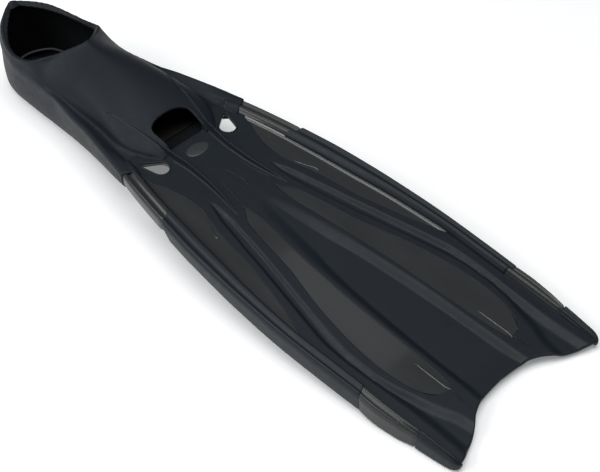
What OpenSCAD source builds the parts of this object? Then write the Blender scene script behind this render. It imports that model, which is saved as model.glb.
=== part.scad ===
// Full-foot swim fin: a hard plastic blade with a rubber foot pocket, rails and channels.
// Distances u run forward from the back of the heel. The row frame puts u = fin_length / 2 at x = 0.
// The blade is cut at three bend lines, where a spring hinge stands for its bending.

/* [Overall] */
// Length from the back of the heel to the tips of the horns
fin_length = 645; // [640:1:650]
// Widest half-width, at the outer wall of the rails
half_width = 101.6; // [98:0.2:105]
// Height of the blade's middle plane at its root
root_height = 42.6; // [40:0.2:45]
// Height of the blade's middle plane at the horn tips
tip_height = 6.6; // [6.4:0.1:7.4]

/* [Blade] */
// Thickness of the hard panels
panel_thick = 3; // [2:0.1:4]
// Thickness of the rubber channels
channel_thick = 2.4; // [1.6:0.1:3]
// Thickness of the hard root plate
root_thick = 2; // [1.5:0.1:2.5]
// Thickness of the rubber skin over the root plate
skin_thick = 1; // [0.6:0.1:1.2]
// Thickness of the rubber cover round the hard ribs
cover_thick = 2; // [1.5:0.1:2.5]
// Clear gap at each bend line
bend_gap = 3.6; // [3.4:0.1:5]

/* [Foot pocket] */
// Thickness of the rubber wall round the foot
wall = 3.6; // [3:0.1:4.5]
// Thickness of the tread under the heel and the ball
tread_thick = 3; // [2:0.1:3]
// Thickness of the hard sole plate
sole_thick = 2; // [1.5:0.1:2.5]
// Thickness of the rubber foot bed
bed_thick = 2.4; // [2:0.1:3]

/* [Openings] */
// Radius of the wide end of each vent hole
vent_radius = 8; // [6:0.5:9]
// Half-width of the toe window
window_half = 20; // [16:0.5:21]

/* [Hidden] */
SIDES = ["left", "right"];
BANDS = ["root", "mid", "fore", "tip"];

rubber = [0.10, 0.12, 0.14];
rubber_light = [0.14, 0.16, 0.18];
plastic = [0.22, 0.21, 0.20];

root_u = 265;
bend_u = [350, 447, 544];
fit_gap = 0.2;
blade_drop = root_height - tip_height;
blade_tilt = atan(blade_drop / (fin_length - root_u));

// First and last u of each band between the bend lines
function band_from(b) = b == "root" ? 250 : bend_u[search([b], BANDS)[0] - 1] + bend_gap / 2;
function band_to(b) = b == "tip" ? fin_length : bend_u[search([b], BANDS)[0]] - bend_gap / 2;
function side_of(s) = s == "left" ? 1 : -1;

// Height of the blade's middle plane
function plane_z(u) = root_height - blade_drop * (u - root_u) / (fin_length - root_u);
// Distance along the tilted blade
function along(u) = (u - root_u) / cos(blade_tilt);

// Stations from a to b at whole multiples of step, so that neighbouring parts share them
function steps(a, b, step) = concat(
    [a], [for (i = [ceil((a + 1) / step):floor((b - 1) / step)]) i * step], [b]);

// ---- plan lines of the blade: half-width over u ----
rail_out_line = [[200, 58.5], [225, 66.5], [257, 76], [285, 81.5], [315, 87], [358, 94.4], [415, 99.7],
    [469, half_width], [512, half_width - 0.5], [550, 99.9], [591, 97], [631, 93.7], [645, 92]];
rail_foot_line = [[245, 57], [262, 61.5], [300, 69], [340, 75], [380, 80], [420, 85], [460, 88], [483, 89],
    [520, 88], [600, 87], [645, 86]];
outer_in_line = [[262, 61.5], [271, 60], [280, 56], [290, 53], [305, 50], [320, 49.5], [340, 54], [360, 59],
    [400, 65], [420, 70], [440, 75], [460, 81], [483, 89], [520, 88], [600, 87], [645, 86]];
inner_out_line = [[345, 20], [360, 30], [380, 34.5], [400, 38], [420, 41.5], [440, 47], [460, 52.5], [480, 57],
    [500, 60.5], [520, 63], [540, 64], [560, 62.5], [580, 57], [590, 50], [598, 39.5], [626, 42]];
inner_in_line = [[345, 20], [360, 19], [400, 23], [440, 27], [480, 30], [520, 31.5], [560, 33.5], [590, 36],
    [598, 39.5], [626, 42]];
outer_panel_from = 268;
outer_panel_end = 480;
inner_panel_end = 596;
trail_from = 626;
// Concave trailing edge: u over half-width
trail_line = [[0, 617], [20, 618.5], [32, 621.5], [42, 626], [52, 633], [62, 638.5], [72, 642], [80, 644.5], [86, 645]];

// ---- height of the rails above and below the blade's middle plane ----
rail_top_line = [[250, 8], [300, 9], [358, 9.5], [470, 9], [550, 8.5], [600, 7.5], [631, 5.5], [645, 3]];
rail_edge_line = [[250, 6], [358, 6.5], [470, 5.5], [600, 4], [631, 3], [645, 1.5]];
rail_deep_line = [[250, 7], [358, 7.5], [415, 9.5], [470, 10.5], [550, 10], [600, 8.6], [631, 7.6], [645, 4]];
cover_from = 306;
// How far the hard rib stands out past the cover's lining, where it is bare in the two windows
rib_proud_line = [[250, 1.4], [300, 1.4], [305, 0], [547, 0], [558, 2.6], [574, 4.8], [592, 3.6], [605, 0.6]];
horn_from = 606;
horn_end_height = 0.55;

function middle(ring) = [for (k = [0:2]) [for (p = ring) p[k]] * [for (p = ring) 1 / len(ring)]];

// A closed solid through rings of points; all rings have the same count and turn the same way
module loft(rings) {
    n = len(rings[0]);
    m = len(rings);
    points = concat([for (r = rings) each r], [middle(rings[0]), middle(rings[m - 1])]);
    sides = [for (i = [0:m - 2]) for (j = [0:n - 1]) let (k = (j + 1) % n)
        each [[i * n + j, (i + 1) * n + j, (i + 1) * n + k], [i * n + j, (i + 1) * n + k, i * n + k]]];
    first = [for (j = [0:n - 1]) [m * n, j, (j + 1) % n]];
    last = [for (j = [0:n - 1]) [m * n + 1, (m - 1) * n + (j + 1) % n, (m - 1) * n + j]];
    polyhedron(points, concat(sides, first, last));
}

// A closed sleeve between an outer and an inner row of rings of the same count
module sleeve(outer, inner) {
    n = len(outer[0]);
    m = len(outer);
    t = n * m;
    points = concat([for (r = outer) each r], [for (r = inner) each r]);
    skin = [for (i = [0:m - 2]) for (j = [0:n - 1]) let (k = (j + 1) % n)
        each [[i * n + j, (i + 1) * n + j, (i + 1) * n + k], [i * n + j, (i + 1) * n + k, i * n + k]]];
    lining = [for (f = skin) [t + f[2], t + f[1], t + f[0]]];
    e = (m - 1) * n;
    first = [for (j = [0:n - 1]) let (k = (j + 1) % n) each [[j, k, t + k], [j, t + k, t + j]]];
    last = [for (j = [0:n - 1]) let (k = (j + 1) % n)
        each [[e + k, e + j, t + e + j], [e + k, t + e + j, t + e + k]]];
    polyhedron(points, concat(skin, lining, first, last));
}

// Places a flat outline in the blade's plane, centred on a height above its middle plane
module on_blade(thick, lift = 0) {
    translate([root_u - fin_length / 2, 0, root_height]) rotate([0, blade_tilt, 0])
        translate([0, 0, lift - thick / 2]) linear_extrude(thick) children();
}

// A strip between two plan lines, from u = a to u = b, on one side, drawn in by inset
module strip(inside, outside, a, b, side, inset = 0, extra = []) {
    us = steps(a, b, 10);
    there = [for (u = us) [along(u), side * (lookup(u, outside) - inset)]];
    back = [for (i = [len(us) - 1:-1:0]) [along(us[i]), side * (lookup(us[i], inside) + inset)]];
    polygon(concat(there, [for (p = extra) [along(p[1]), side * p[0]]], back));
}

// ---- rails: a hard rib inside a rubber cover ----
// Section of the rail at u, grown outward by grow, as a ring of points
function rail_ring(u, side, grow) = let (
    foot = lookup(u, rail_foot_line) + fit_gap,
    out = lookup(u, rail_out_line),
    w = out - foot,
    z = plane_z(u),
    top = lookup(u, rail_top_line) + min(grow, 0.6),
    edge = lookup(u, rail_edge_line) + min(grow, 0.6),
    deep = -lookup(u, rail_deep_line) - min(grow, 0.6),
    low = foot - min(0, grow),
    high = out + grow,
    ring = [[low, 1.5], [low + 0.25 * w, top - 2.5], [low + 0.45 * w, top], [high - 0.25 * w, top],
        [high - 0.5, edge], [high, edge - 3], [high, deep + 3], [high - 1.5, deep + 0.8],
        [high - 0.3 * w, deep], [low + 0.3 * w, deep], [low, -1.5]]
    ) [for (p = side > 0 ? ring : [for (i = [len(ring) - 1:-1:0]) ring[i]])
        [u - fin_length / 2, side * p[0], z + p[1]]];

module rail_cover(a, b, side) {
    us = steps(a, b, 12);
    sleeve([for (u = us) rail_ring(u, side, 0)], [for (u = us) rail_ring(u, side, -cover_thick)]);
}

module rail_rib(a, b, side) {
    us = a < cover_from ? concat(steps(a, cover_from - 6, 12), steps(cover_from - 1, b, 12)) : steps(a, b, 12);
    loft([for (u = us) rail_ring(u, side, lookup(u, rib_proud_line) - cover_thick - fit_gap)]);
}

module horn(side) {
    us = concat(steps(horn_from, 636, 10), [641, 645]);
    loft([for (u = us) let (k = u > 636 ? 1 - (1 - horn_end_height) * (u - 636) / 9 : 1)
        [for (p = rail_ring(u, side, 0)) [p[0], p[1], plane_z(u) + (p[2] - plane_z(u)) * k]]]);
}

// ---- blade panels and channels ----
module outer_panel(b, side) {
    on_blade(panel_thick)
        strip(outer_in_line, rail_foot_line, max(band_from(b), outer_panel_from), min(band_to(b), outer_panel_end), side,
            fit_gap);
}

module inner_panel(b, side) {
    on_blade(panel_thick)
        strip(inner_in_line, inner_out_line, band_from(b), min(band_to(b), inner_panel_end), side, fit_gap);
}

module side_channel(b, side) {
    trail = [for (p = trail_line) if (p[0] > 42) p];
    on_blade(channel_thick)
        if (b == "tip")
            strip(inner_out_line, outer_in_line, band_from(b), trail_from, side, 0,
                [for (i = [len(trail) - 1:-1:0]) trail[i]]);
        else
            strip(inner_out_line, outer_in_line, band_from(b), band_to(b), side);
}

module centre_channel(b) {
    us = steps(band_from(b), b == "tip" ? trail_from : band_to(b), 10);
    far = [for (u = us) [along(u), lookup(u, inner_in_line)]];
    near = [for (i = [len(us) - 1:-1:0]) [along(us[i]), -lookup(us[i], inner_in_line)]];
    tail = b == "tip" ? [for (y = [36, 28, 18, 9, 0, -9, -18, -28, -36]) [along(lookup(abs(y), trail_line)), y]] : [];
    on_blade(channel_thick) polygon(concat(far, tail, near));
}

// ---- blade root ----
root_from = 250.6;
module vent_outline(side) {
    hull() {
        translate([along(261), side * 41]) circle(vent_radius, $fn = 32);
        translate([along(248.5), side * 50]) circle(2.5, $fn = 32);
    }
}

module root_outline() {
    us = steps(root_from, band_to("root"), 10);
    edge = [for (u = us) [along(u), min(lookup(u, outer_in_line), lookup(u, rail_foot_line)) - fit_gap]];
    difference() {
        polygon(concat(edge, [for (i = [len(edge) - 1:-1:0]) [edge[i][0], -edge[i][1]]]));
        for (side = [-1, 1]) vent_outline(side);
    }
}

module blade_root() color(plastic) on_blade(root_thick, -skin_thick / 2) root_outline();

module root_skin() color(rubber_light)
    on_blade(skin_thick, root_thick / 2) difference() {
        root_outline();
        translate([along(264.5), 0]) scale([0.58, 1]) circle(12.6, $fn = 32);
    }

module gate_pad() color(plastic)
    on_blade(skin_thick + 0.4, root_thick / 2 + 0.2)
        translate([along(264.5), 0]) scale([0.58, 1]) circle(12.3, $fn = 32);

// Thin rib from the pocket out over the blade's root
strake_line = [[254, 26], [265, 24], [280, 23], [300, 23.5], [320, 25.5], [346, 30]];
strake_high_line = [[254, 8.5], [280, 6], [300, 5], [320, 4], [346, 1]];
module strake(side) color(rubber) {
    base = 2.5;
    us = steps(254, 346, 8);
    loft([for (u = us) let (y = lookup(u, strake_line), z = plane_z(u) + root_thick / 2 + skin_thick / 2 + fit_gap,
        h = lookup(u, strake_high_line), ring = [[-base, 0], [-0.5, h], [0.5, h], [base, 0]])
        [for (p = side > 0 ? ring : [for (i = [3:-1:0]) ring[i]])
            [u - fin_length / 2, side * (y + p[0]), z + p[1]]]]);
}

// ---- foot pocket: half-widths and heights over u ----
pocket_length = 250;
pocket_stations = [0, 2, 5, 10, 16, 24, 34, 46, 60, 80, 100, 115, 130, 150, 170, 190, 206, 220, 235, 244, 250];
low_half_line = [[0, 3], [2, 9], [5, 14], [10, 20], [24, 28], [45, 33], [70, 36], [113, 41], [146, 45],
    [168, 49], [200, 57], [236, 69], [250, 73.5]];
wide_half_line = [[0, 5], [2, 11], [5, 17], [10, 23.5], [20, 31], [30, 36], [42, 41], [55, 44], [70, 45],
    [115, 46.5], [150, 53], [180, 58.5], [206, 64.5], [245, 73.5], [250, 74.6]];
wide_z_line = [[0, 58], [40, 56], [80, 52], [150, 52], [180, 54], [206, 53.5], [250, 51]];
crease_in_line = [[0, 0.3], [100, 1], [115, 2.5], [150, 8], [180, 12.5], [206, 15], [235, 13], [250, 13.5]];
crease_drop_line = [[0, -3], [100, -3], [115, -2], [150, 1.5], [200, 4.5], [250, 5]];
low_edge_line = [[0, 12], [5, 7], [24, 4], [70, 4.5], [113, 7], [146, 10], [168, 13], [200, 19], [236, 30], [250, 35.4]];
low_mid_line = [[0, 12], [5, 6], [15, 3], [95, 3], [146, 10], [168, 14], [200, 24], [225, 33], [240, 38.5], [250, 40.6]];
top_line = [[0, 79], [10, 81], [20, 86], [30, 93], [45, 101], [80, 103], [100, 99], [115, 95], [140, 89],
    [160, 84], [190, 75], [218, 64], [235, 59], [250, 55]];
// Height of the hard sole plate's middle, which rises into the blade
sole_line = [[10, 7.5], [95, 7.5], [130, 12], [168, 20], [200, 29], [225, 36.7], [240, 41.5], [252, 43.2]];
cavity_half_line = [[4, 6], [10, 19], [20, 27], [30, 32], [42, 37], [55, 40], [70, 41], [110, 42.5], [150, 45],
    [190, 47], [215, 45], [232, 38], [246, 27]];
rim_line = [[-10, 84], [0, 78], [10, 75], [20, 73], [30, 69], [42, 65.5], [55, 64], [70, 66], [85, 71], [100, 80],
    [110, 88], [117, 98], [120, 110]];

// Half of the outer section, from the middle of the sole up to the middle of the top
function outer_half(u) = let (
    low = lookup(u, low_half_line),
    wide = lookup(u, wide_half_line),
    wz = lookup(u, wide_z_line),
    lz = lookup(u, low_edge_line),
    mz = lookup(u, low_mid_line),
    cy = wide - lookup(u, crease_in_line),
    cz = wz - lookup(u, crease_drop_line),
    tz = lookup(u, top_line)
    ) concat(
        [[0, mz], [0.55 * low, mz], [0.75 * low, (mz + lz) / 2], [low - min(2, 0.2 * low), lz], [low, lz + 2.5]],
        [[low + 0.55 * (wide - low), lz + 0.4 * (wz - lz)], [wide - 0.3, wz - 5], [wide - 0.3, wz - 1]],
        [for (a = [0:15:90]) [cy * cos(a), cz + (tz - cz) * sin(a)]]);

// Half of the foot's space, from the bed up to the roof
function inner_half(u) = let (
    half = lookup(u, cavity_half_line),
    floor_z = lookup(u, sole_line) + sole_thick / 2 + fit_gap,
    roof = max(lookup(u, top_line) - wall, floor_z + 6),
    mid_z = floor_z + 0.42 * (roof - floor_z)
    ) concat(
        [[0, floor_z], [0.7 * half, floor_z]],
        [for (a = [-60:20:0]) [half * (0.7 + 0.3 * cos(a)), mid_z + (mid_z - floor_z) * sin(a)]],
        [for (a = [15:15:90]) [half * cos(a), mid_z + (roof - mid_z) * sin(a)]]);

function whole_ring(u, half) = let (n = len(half)) concat(
    [for (i = [0:n - 1]) [u - fin_length / 2, half[i][0], half[i][1]]],
    [for (i = [n - 2:-1:1]) [u - fin_length / 2, -half[i][0], half[i][1]]]);

module pocket_body() loft([for (u = pocket_stations) whole_ring(u, outer_half(u))]);

space_stations = [4, 7, 10, 16, 24, 34, 46, 60, 80, 100, 120, 150, 170, 190, 206, 220, 232, 246];
module pocket_space() loft([for (u = space_stations) whole_ring(u, inner_half(u))]);

// Everything above the rim line, as seen from the side
module rim_cut() {
    translate([-fin_length / 2, 80, 0]) rotate([90, 0, 0]) linear_extrude(160)
        polygon(concat(rim_line, [[120, 130], [-10, 130]]));
}

module toe_window_cut() {
    translate([-fin_length / 2, 0, 0]) translate([0, 0, 45]) linear_extrude(40) hull() {
        for (s = [-1, 1]) {
            translate([231, s * (window_half - 6)]) circle(8, $fn = 32);
            translate([249, s * (window_half - 5.5)]) circle(4, $fn = 32);
        }
    }
}

// The pocket is set to its exact length, which also makes it one smooth moulded mesh
module foot_pocket() color(rubber)
    resize([pocket_length, 0, 0]) difference() {
        pocket_body();
        pocket_space();
        rim_cut();
        toe_window_cut();
    }

module heel_tab() color(rubber)
    translate([-fin_length / 2, 0, 0]) rotate([90, 0, 0]) translate([0, 0, -7])
        linear_extrude(14) polygon([[4.5, 78.5], [8, 76.5], [9, 79], [5, 84], [1.5, 85], [0.3, 83], [1, 80]]);

// Plate or bed that follows the sole, lift above its middle line
module sole_strip(a, b, inset, thick, lift) {
    us = [for (u = space_stations) if (u >= a && u <= b) u];
    loft([for (u = us) let (y = 0.7 * lookup(u, cavity_half_line) - inset, z = lookup(u, sole_line) + lift)
        [[u - fin_length / 2, -y, z - thick / 2], [u - fin_length / 2, y, z - thick / 2],
         [u - fin_length / 2, y, z + thick / 2], [u - fin_length / 2, -y, z + thick / 2]]]);
}

module sole_plate() color(plastic) sole_strip(16, 232, 3, sole_thick - 2 * fit_gap, sole_thick);

module foot_bed() color(rubber_light)
    sole_strip(16, 220, 1, bed_thick - fit_gap, 1.5 * sole_thick + bed_thick / 2 + fit_gap);

module heel_tread() color(rubber_light)
    translate([-fin_length / 2, 0, 0]) linear_extrude(tread_thick - fit_gap / 4) hull() {
        translate([36, 0]) circle(20, $fn = 48);
        translate([86, 0]) circle(23, $fn = 48);
    }

module ball_tread() color(rubber_light) {
    us = concat([for (u = pocket_stations) if (u >= 115 && u <= 170) u], [178]);
    loft([for (u = us) let (y = 0.5 * lookup(u, low_half_line), z = lookup(u, low_mid_line) - fit_gap / 2)
        [[u - fin_length / 2, -y, z - tread_thick], [u - fin_length / 2, y, z - tread_thick],
         [u - fin_length / 2, y, z], [u - fin_length / 2, -y, z]]]);
}

foot_pocket();
heel_tab();
foot_bed();
sole_plate();
heel_tread();
ball_tread();
blade_root();
root_skin();
gate_pad();
color(rubber_light) centre_channel("mid");  // centre_channel_mid
color(rubber_light) centre_channel("fore");  // centre_channel_fore
color(rubber_light) centre_channel("tip");  // centre_channel_tip
for (s = SIDES) {
    strake(side_of(s));
    color(rubber) horn(side_of(s));
    for (b = ["mid", "fore", "tip"]) {
        color(plastic) inner_panel(b, side_of(s));
        color(rubber_light) side_channel(b, side_of(s));
    }
    for (b = ["root", "mid", "fore"]) {
        color(plastic) outer_panel(b, side_of(s));
        color(rubber) rail_cover(max(band_from(b), cover_from), band_to(b), side_of(s));
    }
    for (b = BANDS)
        color(plastic) rail_rib(band_from(b), b == "tip" ? horn_from - fit_gap : band_to(b), side_of(s));
}
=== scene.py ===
"""A full-foot swim fin: a rubber foot pocket on a hard, glossy blade with rubber channels and rails.

Sizes are in millimetres: u runs forward from the heel's back, y to the wearer's left, z up from the floor.
"""
import math

import bmesh
import bpy
import numpy as np
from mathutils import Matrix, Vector


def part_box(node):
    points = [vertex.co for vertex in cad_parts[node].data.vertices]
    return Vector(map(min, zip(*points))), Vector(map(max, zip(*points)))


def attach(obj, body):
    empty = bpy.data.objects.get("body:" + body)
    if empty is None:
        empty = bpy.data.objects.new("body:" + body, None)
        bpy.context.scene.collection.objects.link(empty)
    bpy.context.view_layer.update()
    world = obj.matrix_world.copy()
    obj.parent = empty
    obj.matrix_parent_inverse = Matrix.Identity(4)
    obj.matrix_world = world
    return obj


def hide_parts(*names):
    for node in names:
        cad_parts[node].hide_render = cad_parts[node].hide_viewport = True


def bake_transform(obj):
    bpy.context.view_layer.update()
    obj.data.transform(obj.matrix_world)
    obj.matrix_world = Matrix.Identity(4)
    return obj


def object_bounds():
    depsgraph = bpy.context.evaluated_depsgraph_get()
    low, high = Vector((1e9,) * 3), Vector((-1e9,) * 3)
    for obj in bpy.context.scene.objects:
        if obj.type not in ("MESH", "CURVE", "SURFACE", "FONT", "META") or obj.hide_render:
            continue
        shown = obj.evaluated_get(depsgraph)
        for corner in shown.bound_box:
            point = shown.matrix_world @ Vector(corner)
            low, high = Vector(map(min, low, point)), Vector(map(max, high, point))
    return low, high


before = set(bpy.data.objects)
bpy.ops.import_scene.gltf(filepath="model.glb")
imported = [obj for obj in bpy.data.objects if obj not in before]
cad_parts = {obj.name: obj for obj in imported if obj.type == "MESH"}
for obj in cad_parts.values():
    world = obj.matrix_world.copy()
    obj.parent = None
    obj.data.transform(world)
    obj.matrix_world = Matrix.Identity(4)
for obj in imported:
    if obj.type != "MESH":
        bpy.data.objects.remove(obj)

cad_low, cad_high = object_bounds()

SCENE = bpy.context.scene

MM = 0.001
HEEL_X = cad_low.x
SIDES = {"left": 1, "right": -1}


def joint_u(behind, ahead):
    """u of the bend line between two CAD nodes."""
    return ((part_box(behind)[1].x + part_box(ahead)[0].x) / 2 - HEEL_X) / MM


BENDS = [joint_u(f"rail_left_{a}", f"rail_left_{b}") for a, b in (("root", "mid"), ("mid", "fore"))]
BENDS.append(joint_u("inner_panel_left_fore", "inner_panel_left_tip"))
HALF_BAND = (BENDS[1] - BENDS[0]) / 2
# The visible blade is cut midway between the bend lines.
LENGTHS = [
    ("root", "foot", "blade_mid", BENDS[0]),
    ("mid", "blade_mid", "blade_fore", BENDS[1]),
    ("tip", "blade_fore", "blade_tip", BENDS[2]),
]
CUTS = [BENDS[0] + HALF_BAND, BENDS[1] + HALF_BAND]


def span(n, start, end):
    """Where length n begins and stops, for something that runs from start to end."""
    return ([start] + CUTS)[n], (CUTS + [end])[n]


# ---- lines
def line(*points):
    """Smooth line through (u, value) points that never overshoots them."""
    xs, ys = np.array(points, float).T
    h = np.diff(xs)
    d = np.diff(ys) / h
    same_way = d[:-1] * d[1:] > 0
    between = np.where(same_way, 2 * d[:-1] * d[1:] / (d[:-1] + d[1:] + 1e-12), 0)
    m = np.concatenate([[d[0]], between, [d[-1]]])

    def value(u):
        u = np.clip(np.asarray(u, float), xs[0], xs[-1])
        i = np.clip(np.searchsorted(xs, u, side="right") - 1, 0, len(xs) - 2)
        t = (u - xs[i]) / h[i]
        a = (1 + 2 * t) * (1 - t) ** 2 * ys[i] + t * t * (3 - 2 * t) * ys[i + 1]
        return a + h[i] * (t * (1 - t) ** 2 * m[i] - t * t * (1 - t) * m[i + 1])

    return value


def unit(t):
    return np.clip(t, 0, 1)


def ease(t):
    t = unit(t)
    return t * t * (3 - 2 * t)


def cos_deg(a):
    return math.cos(math.radians(a))


def sin_deg(a):
    return math.sin(math.radians(a))


def rounded(distance, radius):
    """Drop of a rounded edge at a distance in from it."""
    d = np.clip(distance, 0, radius)
    return radius - np.sqrt(radius**2 - (radius - d) ** 2)


ROOT_U, ROOT_Z, TIP_Z, FIN_LENGTH = 265, 42.6, 6.6, 645


def plane_z(u):
    """Height of the blade's middle plane."""
    return ROOT_Z - (ROOT_Z - TIP_Z) * (np.asarray(u, float) - ROOT_U) / (FIN_LENGTH - ROOT_U)


# Plan of the blade: half-widths over u
rail_out = line(
    (200, 60), (225, 68), (257, 77.3), (285, 83.2), (315, 88.5), (358, 95), (415, 99.7), (469, 101.6),
    (512, 101.1), (550, 99.9), (591, 97), (631, 93.7), (645, 92))
rail_foot = line(
    (236, 55), (262, 61.5), (300, 69), (340, 75), (380, 80), (420, 85), (460, 88), (483, 89), (520, 88),
    (600, 87), (645, 86))
outer_window = line(
    (262, 61.5), (271, 60), (280, 56), (290, 53), (305, 50), (320, 49.5), (340, 54), (360, 59), (400, 65),
    (420, 70), (440, 75), (460, 81), (483, 89))
inner_window_out = line(
    (345, 20), (360, 30), (380, 34.5), (400, 38), (420, 41.5), (440, 47), (460, 52.5), (480, 57), (500, 60.5),
    (520, 63), (540, 64), (560, 62.5), (580, 57), (590, 50), (598, 39.5), (626, 42))
inner_window_in = line(
    (345, 20), (360, 19), (400, 23), (440, 27), (480, 30), (520, 31.5), (560, 33.5), (590, 36), (598, 39.5),
    (626, 42))
OUTER_WINDOW = (262, 483)
INNER_WINDOW = (345, 598)
trailing = line(
    (0, 613.5), (20, 615), (32, 618), (42, 622.5), (52, 629.5), (62, 635), (72, 639), (80, 642.5), (87, 644))
web_start = line((0, 251.5), (24, 251.5), (36, 238), (42, 234), (90, 234))

# Reliefs of the rubber channels
groove_in = line(
    (317, 37), (330, 35.5), (340, 36), (360, 39), (380, 42.5), (400, 46.5), (420, 51), (440, 55.5), (460, 60),
    (480, 64.5), (500, 68.5), (520, 71), (540, 71), (560, 68.5), (580, 63), (600, 57.5), (615, 51.5),
    (630, 49), (645, 47))
groove_out = line(
    (317, 38), (330, 42), (340, 45.5), (360, 50), (380, 54.5), (400, 58.5), (420, 63), (440, 67.5), (460, 72),
    (480, 76.5), (500, 80), (520, 80.5), (540, 80), (560, 79), (600, 78), (645, 80))
groove_depth = line((317, 0), (345, 2.8), (420, 3.4), (560, 3.4), (645, 2.6))
groove_wall = line((317, 3), (500, 5), (540, 5.5), (600, 9), (645, 10))
floor_half = line(
    (350, 0.5), (360, 2), (400, 7), (420, 9.5), (440, 13.5), (480, 18), (520, 20.5), (560, 22.5), (600, 23.5),
    (618, 25))
shoulder_half = line(
    (350, 8), (360, 12), (400, 19), (420, 21.5), (440, 23), (480, 26), (520, 28.5), (560, 29), (600, 30),
    (618, 31))
floor_depth = line((345, 0), (380, 1.6), (420, 3), (480, 4), (590, 4), (618, 2.2))

# Rails, above and below the middle plane
rail_top = line((236, 7.6), (300, 9), (358, 9.5), (470, 9), (550, 8.5), (600, 7.5), (631, 5.5), (645, 4.2))
rail_edge = line((236, 6), (358, 6.5), (470, 5.5), (600, 4), (631, 3), (645, 2.4))
rail_deep = line(
    (236, 6.8), (358, 7.3), (415, 9.4), (470, 10.7), (550, 11), (600, 9.6), (631, 7.5), (645, 5.2))

# Heights over the middle plane, and where along the blade things start and stop
WEB_TOP, WEB_UNDER = 2.1, -1.2
PANEL_TOP, PANEL_UNDER = 1.5, -1.5
LIP = 0.8
WEB_FROM, WEB_TO = 234, 626
PLATE_TO = 350
GROOVE_FROM, CHANNEL_FROM = 317, 345
# Rows of the web between these two stay put, and the others are pulled to its ends
PULL_BACK_FROM, PULL_FRONT_FROM = ROOT_U + 5, 560


# ---- meshes
def to_row(points):
    """Millimetre points of the design as row-frame metres."""
    p = np.asarray(points, float).reshape(-1, 3) * MM
    p[:, 0] += HEEL_X
    return p


def new_object(name, points, faces, material=None, sharp=38):
    mesh = bpy.data.meshes.new(name)
    mesh.from_pydata(to_row(points).tolist(), [], [tuple(int(i) for i in f) for f in faces])
    return dress(bpy.data.objects.new(name, mesh), material, sharp)


def dress(obj, material=None, sharp=38):
    """Faces outward, smooth shading with crisp edges over the sharp angle, and a material."""
    mesh = obj.data
    bm = bmesh.new()
    bm.from_mesh(mesh)
    bmesh.ops.dissolve_degenerate(bm, dist=1e-7, edges=bm.edges)
    bmesh.ops.recalc_face_normals(bm, faces=bm.faces)
    bm.to_mesh(mesh)
    bm.free()
    mesh.shade_smooth()
    mesh.set_sharp_from_angle(angle=math.radians(sharp))
    if material:
        mesh.materials.clear()
        mesh.materials.append(material)
    if obj.name not in SCENE.collection.objects:
        SCENE.collection.objects.link(obj)
    return obj


def grid_faces(rows, cols, first=0, wrap=False):
    """Quads over a grid of points, row after row."""
    i, j = np.meshgrid(np.arange(rows - 1), np.arange(cols if wrap else cols - 1), indexing="ij")
    k = (j + 1) % cols
    a, b = first + i * cols, first + (i + 1) * cols
    return np.stack([a + j, b + j, b + k, a + k], -1).reshape(-1, 4)


def welded(points, faces):
    """Merges points within 0.002 mm and drops the faces that collapse."""
    keys = np.round(np.asarray(points) / 0.002).astype(np.int64)
    _, first, back = np.unique(keys, axis=0, return_index=True, return_inverse=True)
    back = back.ravel()
    kept = []
    for f in back[np.asarray(faces)]:
        ring = [v for n, v in enumerate(f) if v != f[n - 1]]
        if len(set(ring)) == len(ring) and len(ring) > 2:
            kept.append(ring)
    return np.asarray(points)[first], kept, first


def shell(top, under, faces):
    """A closed thin solid between two sheets that share their faces."""
    points, kept, first = welded(top, faces)
    low = np.asarray(under)[first]
    n = len(points)
    edges = dict.fromkeys((a, b) for f in kept for a, b in zip(f, f[1:] + f[:1]))
    closed = kept + [[n + v for v in reversed(f)] for f in kept]
    closed += [[b, a, n + a, n + b] for a, b in edges if (b, a) not in edges]
    return np.concatenate([points, low]), closed


def shell_piece(name, u, y, top, under, material, flip=False):
    """A closed thin solid over a grid of rows, from its top and its underside."""
    quads = grid_faces(*u.shape)
    high, low = (np.stack([u, y, z], -1).reshape(-1, 3) for z in (top, under))
    return new_object(name, *shell(high, low, quads[:, ::-1] if flip else quads), material)


def upright(outline, low, high):
    """A closed prism over an outline of (u, y) points."""
    return loft(np.stack([np.column_stack([outline, np.full(len(outline), z)]) for z in (low, high)]))


def loft(rings):
    """A closed solid through rings of points, with a fan on each end."""
    m, n, _ = rings.shape
    points = np.concatenate([rings.reshape(-1, 3), rings[0].mean(0)[None], rings[-1].mean(0)[None]])
    faces = grid_faces(m, n, wrap=True).tolist()
    for j in range(n):
        k = (j + 1) % n
        faces += [[m * n, j, k], [m * n + 1, (m - 1) * n + k, (m - 1) * n + j]]
    return points, faces


def sleeve(outer, inner):
    """A closed sleeve between an outer and an inner row of rings of the same count."""
    m, n, _ = outer.shape
    t = m * n
    skin = grid_faces(m, n, wrap=True)
    faces = skin.tolist() + (skin[:, ::-1] + t).tolist()
    e = (m - 1) * n
    for j in range(n):
        k = (j + 1) % n
        faces += [[j, k, t + k, t + j], [e + k, e + j, t + e + j, t + e + k]]
    return np.concatenate([outer.reshape(-1, 3), inner.reshape(-1, 3)]), faces


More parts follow.
